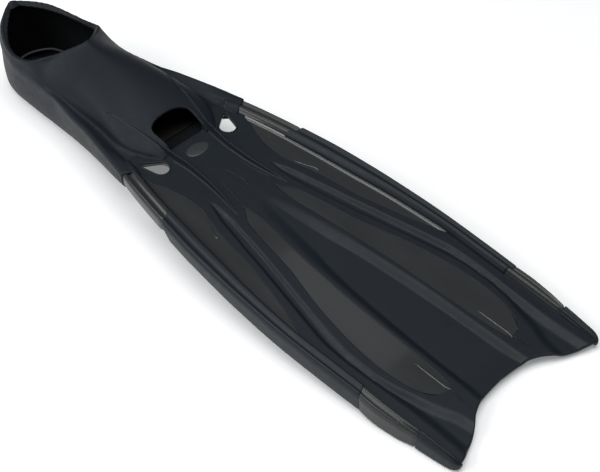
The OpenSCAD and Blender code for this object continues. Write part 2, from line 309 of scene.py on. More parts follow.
def catmull(control, per, closed=True):
    """Smooth curves through rows of control points: control is (rows, points, 3)."""
    c = np.asarray(control, float)
    n = c.shape[1]
    if closed:
        before, here, after, later = (np.roll(c, s, 1) for s in (1, 0, -1, -2))
    else:
        padded = np.concatenate([2 * c[:, :1] - c[:, 1:2], c, 2 * c[:, -1:] - c[:, -2:-1]], 1)
        before, here, after, later = (padded[:, s : s + n - 1] for s in range(4))
    t = (np.arange(per) / per)[None, None, :, None]
    p0, p1, p2, p3 = (a[:, :, None, :] for a in (before, here, after, later))
    q = 0.5 * (2 * p1 + (p2 - p0) * t + (2 * p0 - 5 * p1 + 4 * p2 - p3) * t**2
               + (3 * p1 - p0 - 3 * p2 + p3) * t**3)
    q = q.reshape(c.shape[0], -1, 3)
    return q if closed else np.concatenate([q, c[:, -1:]], 1)


def tube(path, radius, sides=14, closed=False):
    """A round bead along a path; its ends taper where radius does."""
    p = np.asarray(path, float)
    ahead = np.roll(p, -1, 0) - np.roll(p, 1, 0)
    if not closed:
        ahead[0], ahead[-1] = p[1] - p[0], p[-1] - p[-2]
    ahead /= np.linalg.norm(ahead, axis=1)[:, None]
    across = np.cross(ahead, [0, 0, 1])
    across /= np.linalg.norm(across, axis=1)[:, None]
    up = np.cross(across, ahead)
    a = np.arange(sides) * 2 * math.pi / sides
    r = np.broadcast_to(np.asarray(radius, float), (len(p),))[:, None, None]
    a = a[None, :, None]
    rings = p[:, None] + r * (across[:, None] * np.cos(a) + up[:, None] * np.sin(a))
    if closed:
        m = len(p)
        faces = [[a % (m * sides) for a in f] for f in grid_faces(m + 1, sides, wrap=True).tolist()]
        return rings.reshape(-1, 3), faces
    return loft(rings)


def joined(parts):
    """Several (points, faces) as one."""
    points, faces, n = [], [], 0
    for p, f in parts:
        points.append(np.asarray(p, float))
        faces += [[n + v for v in face] for face in f]
        n += len(p)
    return np.concatenate(points), faces


def applied(obj):
    """The object with its modifiers applied."""
    graph = bpy.context.evaluated_depsgraph_get()
    mesh = bpy.data.meshes.new_from_object(obj.evaluated_get(graph))
    obj.modifiers.clear()
    obj.data = mesh
    return obj


def cut(obj, *cutters):
    """Takes closed shapes, given as (points, faces), out of the object."""
    for n, (points, faces) in enumerate(cutters):
        tool = new_object(f"cutter{n}", points, faces)
        modifier = obj.modifiers.new("cut", "BOOLEAN")
        modifier.operation, modifier.solver, modifier.object = "DIFFERENCE", "MANIFOLD", tool
        applied(obj)
        bpy.data.objects.remove(tool)
    return obj


def read(items, attribute, width, kind=float):
    """One attribute of a mesh's vertices, edges or faces, as rows."""
    values = np.zeros(len(items) * width, kind)
    items.foreach_get(attribute, values)
    return values.reshape(-1, width)


def remoulded(obj, voxel, passes):
    """One even skin over everything in the object, relaxed without shrinking."""
    modifier = obj.modifiers.new("skin", "REMESH")
    modifier.mode, modifier.voxel_size = "VOXEL", voxel * MM
    applied(obj)
    mesh = obj.data
    co = read(mesh.vertices, "co", 3)
    a, b = read(mesh.edges, "vertices", 2, np.int64).T
    count = np.bincount(np.concatenate([a, b]), minlength=len(co))[:, None]
    for factor in [0.55, -0.57] * passes:
        total = np.zeros_like(co)
        np.add.at(total, a, co[b])
        np.add.at(total, b, co[a])
        co += factor * (total / count - co)
    mesh.vertices.foreach_set("co", co.ravel())
    mesh.update()
    return obj


# ---- materials
def shader(name, colour, roughness, **constants):
    material = bpy.data.materials.new(name)
    material.use_nodes = True
    tree = material.node_tree
    surface = tree.nodes["Principled BSDF"]
    surface.inputs["Base Color"].default_value = (*colour, 1)
    surface.inputs["Roughness"].default_value = roughness
    for key, value in constants.items():
        surface.inputs[key.replace("_", " ")].default_value = value
    return material, tree, surface


def noise(tree, where, scale, detail=3, rough=0.5):
    node = tree.nodes.new("ShaderNodeTexNoise")
    node.inputs["Scale"].default_value = scale
    node.inputs["Detail"].default_value = detail
    node.inputs["Roughness"].default_value = rough
    tree.links.new(where, node.inputs["Vector"])
    return node.outputs["Fac"]


def spread(tree, value, low, high, span=(0.3, 0.7)):
    """A number that runs over a span as one between low and high."""
    node = tree.nodes.new("ShaderNodeMapRange")
    node.inputs["From Min"].default_value, node.inputs["From Max"].default_value = span
    node.inputs["To Min"].default_value, node.inputs["To Max"].default_value = low, high
    tree.links.new(value, node.inputs["Value"])
    return node.outputs["Result"]


def mixed(tree, share, one, other):
    node = tree.nodes.new("ShaderNodeMix")
    node.data_type = "RGBA"
    node.inputs["A"].default_value, node.inputs["B"].default_value = (*one, 1), (*other, 1)
    tree.links.new(share, node.inputs["Factor"])
    return node.outputs["Result"]


def bumped(tree, surface, layers):
    """Stacks bumps: layers are (height, strength, depth in mm)."""
    last = None
    for height, strength, depth in layers:
        node = tree.nodes.new("ShaderNodeBump")
        node.inputs["Strength"].default_value = strength
        node.inputs["Distance"].default_value = depth * MM
        tree.links.new(height, node.inputs["Height"])
        if last:
            tree.links.new(last, node.inputs["Normal"])
        last = node.outputs["Normal"]
    tree.links.new(last, surface.inputs["Normal"])


def rubber(name, dark, light, roughness, grain=1.0, specular=0.22, crest_highlight_share=0.0):
    """Satin moulded rubber: faint clouding, fine grain, and a painted highlight that lightens convex edges
    and crests.
    """
    material, tree, surface = shader(name, dark, roughness, Specular_IOR_Level=specular)
    where = tree.nodes.new("ShaderNodeTexCoord").outputs["Object"]
    clouds = noise(tree, where, 18, 4)
    fine = noise(tree, where, 1900, 2)
    scuffs = noise(tree, where, 140, 5, 0.65)
    base = mixed(tree, clouds, dark, light)
    # Painted highlight: where Pointiness marks a convex edge or crest, the colour is pulled towards a pale
    # one by the share given.
    point = tree.nodes.new("ShaderNodeNewGeometry").outputs["Pointiness"]
    crest_lit = spread(tree, point, 0, crest_highlight_share, (0.53, 0.66))
    crest_highlight = mixed(tree, crest_lit, dark, CREST_HIGHLIGHT)
    tree.links.new(base, crest_highlight.node.inputs["A"])
    tree.links.new(crest_highlight, surface.inputs["Base Color"])
    tree.links.new(spread(tree, scuffs, roughness - 0.05, roughness + 0.07), surface.inputs["Roughness"])
    bumped(tree, surface, [(scuffs, 0.12 * grain, 0.12), (fine, 0.3 * grain, 0.03)])
    return material


def hard_plastic(name, dark, light, roughness=0.13, specular=0.5, coat=0.35):
    """Glossy smoke-brown plastic with faint flow marks and fine scratches."""
    material, tree, surface = shader(
        name, dark, roughness, Specular_IOR_Level=specular, Coat_Weight=coat, Coat_Roughness=0.05)
    where = tree.nodes.new("ShaderNodeTexCoord").outputs["Object"]
    flow = tree.nodes.new("ShaderNodeMapping")
    flow.inputs["Scale"].default_value = (0.25, 1, 1)
    tree.links.new(where, flow.inputs["Vector"])
    swirl = noise(tree, flow.outputs["Vector"], 55, 4)
    waves = noise(tree, where, 26, 1)
    scratches = noise(tree, where, 900, 2)
    tree.links.new(mixed(tree, swirl, dark, light), surface.inputs["Base Color"])
    tree.links.new(spread(tree, swirl, roughness, roughness + 0.09), surface.inputs["Roughness"])
    bumped(tree, surface, [(waves, 0.25, 0.35), (scratches, 0.06, 0.02)])
    return material


# Pale colour of the painted highlight on convex edges and crests.
CREST_HIGHLIGHT = (0.075, 0.085, 0.098)
NAVY = (0.01, 0.0135, 0.018), (0.0145, 0.0185, 0.0235)
POCKET_RUBBER = rubber("pocket_rubber", *NAVY, 0.52, specular=0.16)
WEB_RUBBER = rubber("channel_rubber", (0.0085, 0.0122, 0.0168), (0.012, 0.016, 0.021), 0.43, 0.8, 0.22)
RAIL_RUBBER = rubber("rail_rubber", (0.013, 0.017, 0.0215), (0.0175, 0.022, 0.027), 0.4, 0.8, 0.2)
# Strakes carry a strong painted highlight along their crests.
STRAKE_RUBBER = rubber("strake_rubber", *NAVY, 0.42, 0.6, 0.2, 0.8)
# Near-black rubber for the foot bed: painted shade inside the pocket.
SHADED_BED_RUBBER = rubber("shaded_bed_rubber", (0.004, 0.0046, 0.0052), (0.006, 0.0066, 0.0074), 0.55, 1.6, 0.2)
# Paler rubber for the foot bed's raised edge: a painted highlight.
BED_EDGE_HIGHLIGHT = rubber("bed_edge_highlight_rubber", (0.034, 0.037, 0.041), (0.042, 0.045, 0.05), 0.5, 1, 0.3)
TREAD_RUBBER = rubber("tread_rubber", (0.01, 0.0115, 0.013), (0.014, 0.0155, 0.017), 0.66, 1.6, 0.3)
# Near-black rubber for the faces inside the pocket: painted shade where the light doesn't reach.
INSIDE_SHADE = rubber("pocket_inside_shade", (0.003, 0.0035, 0.0042), (0.0045, 0.005, 0.0058), 0.6, 1.2, 0.15)
PLASTIC = hard_plastic("smoke_plastic", (0.0262, 0.0274, 0.029), (0.0338, 0.0345, 0.0355))
RIB_PLASTIC = hard_plastic("rib_plastic", (0.0262, 0.028, 0.029), (0.0338, 0.035, 0.0355), 0.2, 0.25, 0.1)
SOLE_PLASTIC = hard_plastic("sole_plastic", (0.003, 0.0032, 0.0035), (0.0045, 0.0047, 0.005), 0.5)
PAD_PLASTIC = hard_plastic("gate_plastic", (0.023, 0.026, 0.029), (0.029, 0.032, 0.035), 0.36)


# ---- placing
def place(obj, nodes=(), body=None):
    """Rides the piece on a body, or bakes its transform into its mesh where it stands."""
    if nodes:
        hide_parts(*nodes)
    if body:
        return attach(obj, body)
    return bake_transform(obj)


def stations(a, b, step=2.0, fine=()):
    """Rows from a to b, with extra ones close to each end."""
    rows = np.concatenate([np.linspace(a, b, max(2, int(round((b - a) / step)) + 1)), [a + f for f in fine],
                           [b - f for f in fine]])
    return np.unique(np.round(rows[(rows >= a) & (rows <= b)], 4))


# ---- rubber web and hard panels
EDGE_STEPS = np.array([0, 0.1, 0.3, 0.6, 1.0, 1.6])


def columns(inside, outside, count):
    """Half-widths across a strip for every row, packed at both edges."""
    width = outside - inside
    k = unit(width / 6)
    near = inside[:, None] + k[:, None] * EDGE_STEPS
    far = outside[:, None] - k[:, None] * EDGE_STEPS[::-1]
    middle = near[:, -1:] + (far[:, :1] - near[:, -1:]) * np.linspace(0, 1, count)[None, 1:-1]
    return np.concatenate([near, middle, far], 1)


def relief(u, y):
    """How far the rubber dips below its flat: side grooves and centre channel."""
    w = np.abs(y)
    inner, outer = groove_in(u), groove_out(u)
    groove = ease(np.minimum(w - inner, outer - w) / groove_wall(u)) * groove_depth(u) * (u > GROOVE_FROM)
    p = unit((shoulder_half(u) - w) / (shoulder_half(u) - floor_half(u)))
    channel = floor_depth(u) * (0.45 * ease(p) + 0.55 * (1 - np.cos(p * math.pi / 2))) * (u > CHANNEL_FROM)
    return groove + channel


def in_window(u, window):
    """1 beside a hard panel's window, falling to 0 within 2 mm past its ends."""
    return ease((u - window[0] + 2) / 2) * ease((window[1] + 2 - u) / 2)


def fitted(u, y):
    """Pulls rows to the web's start line under the pocket and to the blade's trailing edge."""
    back, front = PULL_BACK_FROM, PULL_FRONT_FROM
    u = np.where(u < back, back - (back - web_start(np.abs(y))) * (back - u) / (back - WEB_FROM), u)
    return np.where(u > front, front + (trailing(np.abs(y)) - front) * (u - front) / (WEB_TO - front), u)


def web_outer(u):
    """Outer edge of the rubber: the outer window, or the rail where there is none."""
    inside = (u > OUTER_WINDOW[0]) & (u < OUTER_WINDOW[1])
    under_rail = rail_foot(u) + 1.5 * (u >= OUTER_WINDOW[1])
    return np.where(inside, np.minimum(outer_window(u), rail_foot(u)), under_rail)


def web_strips(us):
    """The strips of rubber across the blade: side, kind and half-widths."""
    inner_in, inner_out = inner_window_in(us), inner_window_out(us)
    centre = columns(np.zeros_like(us), inner_in, 26)
    side = columns(inner_out, web_outer(us), 34)
    return [(1, "side", side), (1, "centre", centre), (-1, "centre", centre), (-1, "side", side)]


def web_heights(u0, u, y, strip):
    """Top and underside of the rubber, with its lips and trailing edge. u0 is u before it was fitted."""
    w = np.abs(y)
    lip_in, lip_out = in_window(u0, INNER_WINDOW), in_window(u0, OUTER_WINDOW)
    if strip == "centre":
        drop = rounded(inner_window_in(u0) - w, LIP) * lip_in
    else:
        drop = rounded(w - inner_window_out(u0), LIP) * lip_in + rounded(web_outer(u0) - w, LIP) * lip_out
    edge = rounded((trailing(w) - u) * 0.9, 1.3)
    top = plane_z(u) + WEB_TOP - relief(u, y) - drop - edge
    return top, plane_z(u) + WEB_UNDER - relief(u, y) + 0.8 * edge


def plate_top(u, y):
    """Top of the hard plate under the root's skin, which dips with the grooves."""
    return plane_z(u) + np.minimum(0.95, WEB_TOP - 0.6 - relief(u, y))


def rubber_web(n):
    """One length of the rubber: root skin, centre channel and side channels in one moulding."""
    us = stations(*span(n, WEB_FROM, WEB_TO), 2.0, (0.15, 0.4, 0.8, 1.3) if n == 2 else ())
    tops, unders, faces, first = [], [], [], 0
    for side, kind, half in web_strips(us):
        u0 = np.repeat(us[:, None], half.shape[1], 1)
        u = fitted(u0, half)
        y = side * half
        top, under = web_heights(u0, u, y, kind)
        if n == 0:
            under = np.where(u < PLATE_TO - 1, plate_top(u, y) - 0.05, under)
        tops.append(np.stack([u, y, top], -1).reshape(-1, 3))
        unders.append(np.stack([u, y, under], -1).reshape(-1, 3))
        quads = grid_faces(len(us), half.shape[1], first)
        faces.append(quads if side > 0 else quads[:, ::-1])
        first += half.size
    points, closed = shell(np.concatenate(tops), np.concatenate(unders), np.concatenate(faces))
    web = new_object(f"rubber_web_{LENGTHS[n][0]}", points, closed, WEB_RUBBER)
    if n == 0:
        cut(web, *(vent_prism(s, 0) for s in SIDES.values()))
        dress(web, WEB_RUBBER)
    return web


def panel(n, side, window, inside, outside, name, fillet=False):
    """One length of a hard panel, tucked under the rubber's lips. A fillet turns it up into the rail."""
    tuck = 0.5
    a, b = span(n, 0, FIN_LENGTH)
    a, b = max(window[0] + 0.5, a), min(window[1] - 0.5, b)
    if b - a < 2:
        return None
    us = stations(a, b, 2.0)
    low, high = inside(us) - tuck, outside(us) + (0.4 if fillet else tuck)
    half = low[:, None] + (high - low)[:, None] * np.linspace(0, 1, 26)[None] ** (0.8 if fillet else 1)
    u = np.repeat(us[:, None], half.shape[1], 1)
    rise = 2.0 * unit(1 - (high[:, None] - half) / 3.2) ** 2 if fillet else 0
    top, under = plane_z(u) + PANEL_TOP + rise, plane_z(u) + PANEL_UNDER
    return shell_piece(f"{name}_{LENGTHS[n][0]}", u, side * half, top, under, PLASTIC, flip=side < 0)


def panel_rib(name, points, radius, material, lift=PANEL_TOP):
    """A low bead that stands on the blade: points are (u, y)."""
    path = np.array([(u, y, plane_z(u) + lift) for u, y in points])
    path = catmull(path[None], 8, closed=False)[0]
    t = np.linspace(0, 1, len(path))
    taper = radius * np.sqrt(np.clip(1 - (2 * t - 1) ** 8, 0.002, 1)) * (0.55 + 0.45 * t)
    return new_object(name, *tube(path, taper, 12), material)


# ---- vents, gate pad and root plate
VENT_WIDE, VENT_NARROW = ((261, 41), 8), ((248.5, 50), 2.5)


def vent_outline(side, grow):
    """A drop shape: a wide round end near the middle and a narrow one towards the rail."""
    (big, r1), (small, r2) = ((end, r + grow) for end, r in (VENT_WIDE, VENT_NARROW))
    d = np.array(small, float) - np.array(big, float)
    reach = np.linalg.norm(d)
    heading = math.atan2(d[1], d[0])
    lean = math.acos((r1 - r2) / reach)
    around_big = np.linspace(heading + lean, heading + 2 * math.pi - lean, 40)
    around_small = np.linspace(heading - lean, heading + lean, 14)
    points = [(big[0] + r1 * math.cos(a), big[1] + r1 * math.sin(a)) for a in around_big]
    points += [(small[0] + r2 * math.cos(a), small[1] + r2 * math.sin(a)) for a in around_small]
    return np.array([(u, side * y) for u, y in points])


def vent_prism(side, grow, top=60.0):
    return upright(vent_outline(side, grow), 25.0, top)


def vent_lip(name, side):
    outline = vent_outline(side, 0.5)
    path = np.column_stack([outline, plane_z(outline[:, 0]) + WEB_TOP - 0.35])
    return new_object(f"vent_lip_{name}", *tube(path, 0.95, 12, closed=True), WEB_RUBBER)


PAD_U, PAD_LONG, PAD_WIDE = 264.5, 7, 12.5


def gate_pad():
    """The smooth oval left where the rubber was fed into the mould."""
    radii = np.array([0, 0.5, 0.8, 0.9, 0.95, 0.985, 1.0])
    heights = 0.5 * np.sqrt(1 - radii**4)
    a = np.arange(48) * 2 * math.pi / 48
    rings = []
    for r, h in zip(radii[::-1], heights[::-1]):
        u = PAD_U + PAD_LONG * max(r, 0.01) * np.cos(a)
        y = PAD_WIDE * max(r, 0.01) * np.sin(a)
        rings.append(np.stack([u, y, plane_z(u) + WEB_TOP - 0.1 + h], -1))
    low = rings[0].copy()
    low[:, 2] -= 0.8
    return new_object("gate_pad_oval", *loft(np.stack([low] + rings)), PAD_PLASTIC)


def root_plate():
    """The hard plate under the root's rubber skin, from inside the pocket to the first channels."""
    us = stations(WEB_FROM, PLATE_TO, 2.5)
    half = (web_outer(us)[:, None] - 0.6) * np.linspace(-1, 1, 121)[None]
    u = fitted(np.repeat(us[:, None], 121, 1), half)
    top = plate_top(u, half)
    under = np.minimum(plane_z(u) + PANEL_UNDER, top - 0.8)
    plate = shell_piece("root_plate_body", u, half, top, under, PLASTIC)
    cut(plate, *(vent_prism(s, -0.2) for s in SIDES.values()))
    return dress(plate, PLASTIC)


# ---- rails
# Section of a rail: share of its width, then shares of top, edge and deep, then millimetres added
RAIL_SECTION = np.array([
    (0, 0, 0, 0, 2), (0.03, 0.45, 0, 0, 0.6), (0.1, 1, 0, 0, -2.6),
    (0.19, 1, 0, 0, -0.7), (0.31, 1, 0, 0, 0), (0.43, 1, 0, 0, -0.6),
    (0.56, 1, 0, 0, -2.1), (0.68, 1, 0, 0, -1.9), (0.82, 1, 0, 0, -0.5),
    (0.92, 0.6, 0.4, 0, -0.3), (0.98, 0, 1, 0, -0.4), (1, 0, 1, 0, -2.6),
    (1, 0, 0.4, 0.4, 0), (1, 0, 0, 1, 3.5), (0.985, 0, 0, 1, 1.6),
    (0.93, 0, 0, 1, 0.5), (0.8, 0, 0, 1, 0), (0.55, 0, 0, 1, 0),
    (0.3, 0, 0, 1, 0.2), (0.12, 0, 0, 1, 1.2), (0.03, 0, 0, 0.6, 0),
    (0, 0, 0, 0, -1.6),
])


def rail_rings(us, side, inset=0.0, bulge=0.0, slant=(0, 0)):
    """Rings round the rail. inset draws the section in, bulge swells its outer wall and its keel, and slant
    is how far the first and last rings lean forward from the foot to the outer wall."""
    share, top, edge, deep, more = RAIL_SECTION.T
    reach = (us - us[0]) / (us[-1] - us[0])
    lean = (share * (1 + 1.1 * deep))[None]
    u = us[:, None] + lean * (slant[0] * (1 - reach) ** 4 + slant[1] * reach**4)[:, None]
    inset = np.broadcast_to(inset, us.shape)[:, None]
    bulge = np.broadcast_to(bulge, us.shape)[:, None]
    foot, out = rail_foot(u) - 0.4 + inset, rail_out(u) - inset + bulge
    y = foot + (out - foot) * share
    z = top * rail_top(u) + edge * rail_edge(u) - deep * (rail_deep(u) + 1.2 * bulge) + more
    z = z - inset * np.sign(z) * (np.abs(z) > 2.2)
    control = np.stack([u, side * y, plane_z(u) + z], -1)
    if side < 0:
        control = control[:, ::-1]
    return catmull(control, 3)


def rounded_ends(us, start, end):
    """How far rings draw in close to a cut start or end, to round it."""
    return np.maximum(start * rounded(us - us[0], 1.0), end * rounded(us[-1] - us, 1.0))


LIP_STEPS = (0.05, 0.2, 0.5, 1.0)
RIB_FROM, COVER_FROM, COVER_TO, HORN_FROM, HORN_ROUND_FROM = 240, 305, 547, 606, 636


def rail_cover(n, name, side):
    """One length of the rubber cover round the hard rib."""
    us = stations(*span(n, COVER_FROM, COVER_TO), 2.0, LIP_STEPS if n != 1 else ())
    ends = rounded_ends(us, n == 0, n == 2)
    slant = (9 if n == 0 else 0, 5 if n == 2 else 0)
    outer = rail_rings(us, side, ends, slant=slant)
    inner = rail_rings(us, side, 1.9, slant=slant)
    return new_object(f"rail_cover_{name}_{LENGTHS[n][0]}", *sleeve(outer, inner), RAIL_RUBBER)


rib_inset = line((236, 0.9), (308, 0.9), (316, 2.1), (540, 2.1), (545, 0.9), (604, 0.9), (606, 2), (612, 2))
rib_bulge = line((236, 0), (546, 0), (556, 1.4), (572, 2.4), (588, 2.2), (604, 0.7), (612, 0))


def hard_rib(n, name, side):
    """One length of the hard rib, bare in the two windows of its cover."""
    us = stations(*span(n, RIB_FROM, HORN_FROM + 2), 2.0)
    rings = rail_rings(us, side, rib_inset(us), rib_bulge(us))
    return new_object(f"hard_rib_{name}_{LENGTHS[n][0]}", *loft(rings), RIB_PLASTIC)


def horn(name, side):
    """The rubber tip of a rail."""
    us = stations(HORN_FROM, FIN_LENGTH - 0.1, 1.5, LIP_STEPS)
    rings = rail_rings(us, side, rounded_ends(us, True, False))
    reach = np.clip(us - HORN_ROUND_FROM, 0, None) / (FIN_LENGTH - HORN_ROUND_FROM)
    k = np.sqrt(np.clip(1 - reach**2.4, 0.01, 1))[:, None]
    middle = plane_z(rings[..., 0]) - 0.5
    foot = side * (rail_foot(us) - 0.4)[:, None]
    rings[..., 1] = foot + (rings[..., 1] - foot) * (0.35 + 0.65 * k)
    rings[..., 2] = middle + (rings[..., 2] - middle) * (0.25 + 0.75 * k)
    return new_object(f"rail_horn_{name}", *loft(rings), RAIL_RUBBER)


# ---- foot pocket
# Its outer section over u, from below: the sole's edge and middle (low), the widest level (wide), the crease
# over the wing, the foot of the toe box, and the top (roof). Names in _z and _edge are heights.
low_half = line(
    (0, 4), (2, 11), (5, 16.5), (10, 22.5), (24, 30.5), (45, 35), (70, 37), (113, 41), (146, 45), (168, 49),
    (200, 57), (236, 69), (256, 75))
wide_half = line(
    (0, 5), (2, 11.5), (5, 17.5), (10, 24), (20, 31.5), (30, 36.5), (42, 41), (55, 44), (70, 45.2),
    (115, 47.5), (150, 54), (180, 60), (206, 66), (245, 74.8), (256, 77.3))
wide_z = line((0, 58), (40, 56), (80, 52), (150, 52), (180, 54), (206, 53.7), (245, 52), (256, 51.2))
low_edge = line(
    (0, 12), (5, 7), (24, 4), (70, 4.5), (113, 7), (146, 10), (168, 13), (200, 19), (236, 30), (256, 36.5))
low_mid = line(
    (0, 12), (5, 6), (15, 3), (95, 3), (146, 10), (168, 14), (200, 24), (225, 33), (240, 38.5), (256, 41.5))
roof_line = line(
    (0, 79), (10, 81), (20, 86), (30, 93), (45, 101), (80, 99.5), (100, 94), (115, 89.5), (140, 85),
    (160, 81.5), (190, 74.3), (218, 65), (235, 59.5), (246, 55.5), (251, 52), (254, 48.5), (255.5, 46))
# Crease between the pocket's side and the wing that runs on into the rail
crease_in = line(
    (0, 0.3), (100, 1), (115, 1.9), (135, 6), (162, 11), (182, 13), (200, 14.5), (227, 15.2), (242, 14.3),
    (256, 14))
crease_z = line(
    (0, 61), (100, 54), (118, 51), (162, 50), (182, 49.5), (200, 48.5), (227, 46.2), (242, 46), (256, 45))
# Foot of the toe box, which leaves the crease and turns in to the front edge
toe_in = line(
    (0, 0.1), (100, 0.8), (115, 1.2), (162, 1.3), (198, 1.7), (213, 3), (226, 7), (236, 13.5), (246, 22),
    (256, 31))
toe_z = line((0, 62), (100, 56), (118, 53), (162, 52.5), (200, 50), (227, 47), (242, 45.8), (256, 44.5))
sole_z = line((10, 7.5), (95, 7.5), (130, 12), (168, 20), (200, 29), (225, 36.7), (240, 41.5), (252, 43.2))
cavity_half = line(
    (3, 3.5), (10, 19.5), (20, 27.8), (30, 33), (42, 37.5), (55, 40.6), (70, 41.6), (100, 41), (115, 40),
    (150, 39.2), (190, 42), (215, 43), (232, 36), (246, 27))
rim_z = line(
    (-10, 84), (0, 79), (5, 76.5), (10, 75), (20, 72), (30, 68.5), (42, 65), (55, 63.5), (70, 65.5),
    (85, 70.5), (92, 74.5), (100, 77.5), (108, 82.5), (114, 86), (118, 89.5), (121, 98), (124, 108))
# How square the shoulders of the top are, in height and in width: higher is rounder
shoulder = line((0, 1), (60, 1.1), (90, 1.3), (102, 1.5), (118, 1.4), (145, 1.15), (180, 0.98), (256, 0.9))
peak = line((0, 1), (75, 1.05), (90, 1.25), (102, 1.75), (118, 1.6), (145, 1.25), (180, 1.05), (200, 1))
WALL = 2.7
WING_FROM = 112
# The cavity's roof keeps its height from here to the toe window
ROOF_LEVEL_FROM = 244


def crease_half(u):
    return wide_half(u) - crease_in(u)


def toe_half(u):
    return crease_half(u) - toe_in(u)


def pocket_section(u):
    """Outer half-section from the middle of the sole to the middle of the top, as control points."""
    low, wide, wz, lz, mz = low_half(u), wide_half(u), wide_z(u), low_edge(u), low_mid(u)
    cy, cz, ty, tz, top = crease_half(u), crease_z(u), toe_half(u), toe_z(u), roof_line(u)
    k = ease((u - WING_FROM) / 50)
    lower = [(0, mz), (0.3 * low, mz), (0.55 * low, mz), (0.75 * low, (mz + lz) / 2),
             (low - min(2.5, 0.25 * low), lz), (low - 0.2, lz + 2),
             (low + 0.3 * (wide - low) + 0.6, lz + 0.18 * (wz - lz)),
             (low + 0.62 * (wide - low) + 0.8, lz + 0.45 * (wz - lz)), (wide - 0.6, wz - 8)]
    crest = [(wide, wz - 3.5), (wide - 0.8 * k, wz - 0.9 * k), (wide - 3.2 * k, wz + 0.2 + 1.5 * (1 - k))]
    gap = (wide - 3.2) - cy
    full = ease((u - 205) / 38)
    slope = [(cy + (0.55 - 0.25 * full) * gap * k + 0.2, cz + (0.5 + 0.42 * full) * (wz - cz) + 2 * (1 - k)),
             (cy + 0.4 * k, cz + 0.3 + 1.5 * (1 - k))]
    arc = [(ty * cos_deg(a) ** peak(u), tz + (top - tz) * sin_deg(a) ** shoulder(u))
           for a in (4, 14, 26, 40, 54, 68, 80, 90)]
    return lower + crest + slope + arc


def whole(half_rows):
    """Closed rings from half-sections: rows of (u, [(y, z), ...])."""
    return np.array([[(u, y, z) for y, z in half] + [(u, -y, z) for y, z in half[-2:0:-1]]
                     for u, half in half_rows])


def pocket_rows():
    return np.concatenate([[0, 0.6, 1.6, 3.2, 5.5, 8.5], np.arange(12, 244, 4), np.arange(244, 255.6, 1.2)])


def pocket_body():
    return loft(catmull(whole((u, pocket_section(u)) for u in pocket_rows()), 3))


def cavity_levels(u):
    """Floor, widest level and roof of the space inside."""
    low = sole_z(u) + 1.2
    roof = np.maximum(roof_line(np.minimum(u, ROOF_LEVEL_FROM)) - WALL, low + 6)
    return low, low + 0.42 * (roof - low), roof


def cavity_section(u):
    half = cavity_half(u)
    floor, middle, roof = cavity_levels(u)
    low = [(0, floor), (0.35 * half, floor), (0.68 * half, floor + 0.3)]
    low += [(half * (0.7 + 0.3 * cos_deg(a)), middle + (middle - floor) * sin_deg(a))
            for a in (-55, -35, -15)]
    high = [(half * cos_deg(a) ** peak(u), middle + (roof - middle) * sin_deg(a) ** shoulder(u))
            for a in (5, 22, 40, 56, 70, 80, 90)]
    return low + high


def cavity():
    us = np.concatenate([[3.6, 4.5, 6, 8.5, 12], np.arange(16, 243, 5), [245, 247]])
    return loft(catmull(whole((u, cavity_section(u)) for u in us), 3))


def mouth_cut():
    """Everything above the rim, as seen from the side."""
    back, front, over = -10, 124, 130
    us = np.linspace(back, front, 60)
    outline = np.concatenate([np.column_stack([us, rim_z(us)]), [(front, over), (back, over)]])
    return loft(np.stack([np.column_stack([outline[:, 0], np.full(len(outline), y), outline[:, 1]])
                          for y in (-80.0, 80.0)]))


def section_half_at(u, z):
    """Half-width of the pocket's outside at a height, above its widest level."""
    half = np.array(catmull(whole([(u, pocket_section(u))]), 6)[0])
    part = half[: len(half) // 2 + 1]
    widest = int(np.argmax(part[:, 1]))
    y, zz = part[widest:, 1], np.maximum.accumulate(part[widest:, 2])
    return float(np.interp(z, zz, y))


def rim_path():
    """Middle of the wall's edge all round the mouth."""
    front = next(u for u in np.arange(105, 124, 0.1) if rim_z(u) >= roof_line(u) - 0.8)
    us = 0.9 + (front - 0.9) * (0.5 - 0.5 * np.cos(np.linspace(0, math.pi, 46)))
    side = [(u, max(section_half_at(u, float(rim_z(u))) - 1.1, 0.3), float(rim_z(u))) for u in us]
    ring = side + [(u, -y, z) for u, y, z in side[::-1]]
    return catmull(np.array(ring)[None], 2)[0]


WINDOW_BACK, WINDOW_FRONT = 222.5, 256


def window_outline():
    """Toe window from above: an arched back edge, round corners and straight sides that close in."""
    corners = [(WINDOW_FRONT, 20.6), (246, 21.2), (236, 22.2), (231.5, 22.2), (227.6, 20.4), (224.6, 15.5),
               (223, 8)]
    half = corners + [(WINDOW_BACK, 0)] + [(u, -y) for u, y in corners[::-1]]
    return catmull(np.array([(u, y, 0) for u, y in half])[None], 5, closed=False)[0][:, :2]


def window_cut():
    return upright(window_outline(), 44.9, 90.0)


def roof_at(u, y):
    """Height of the pocket's outside above (u, y) on the toe box."""
    ty, tz, top = toe_half(u), toe_z(u), roof_line(u)
    return tz + (top - tz) * unit(1 - (np.asarray(y) / ty) ** 2) ** (shoulder(u) / 2)


def window_bead():
    """The thin raised lip along the back and sides of the toe window."""
    outline = window_outline()
    outline = outline[outline[:, 0] < 251]
    centre = np.array([240, 0])
    path = centre + (outline - centre) * 1.035
    z = np.array([float(roof_at(u, y)) for u, y in path]) - 0.35
    return tube(np.column_stack([path, z]), 1.1, 10)


def wing_stub(side):
    """The wing's end, which closes round the hard rib with a slanted cut."""
    us = stations(222, 256, 2.0, (0.3, 0.8))
    buried = 5.5 * ease((246 - us) / 22)
    return loft(rail_rings(us, side, np.maximum(buried, rounded_ends(us, False, True)), slant=(0, -9)))


def wing_end_cut(side):
    """What lies ahead of the wing's slanted end, over the bare part of the hard rib."""
    corners = [(256.2, 59.5), (246.6, 78), (242, 90), (270, 90), (270, 59.5)]
    return upright(np.array([(u, side * y) for u, y in corners]), 20.0, 70.0)


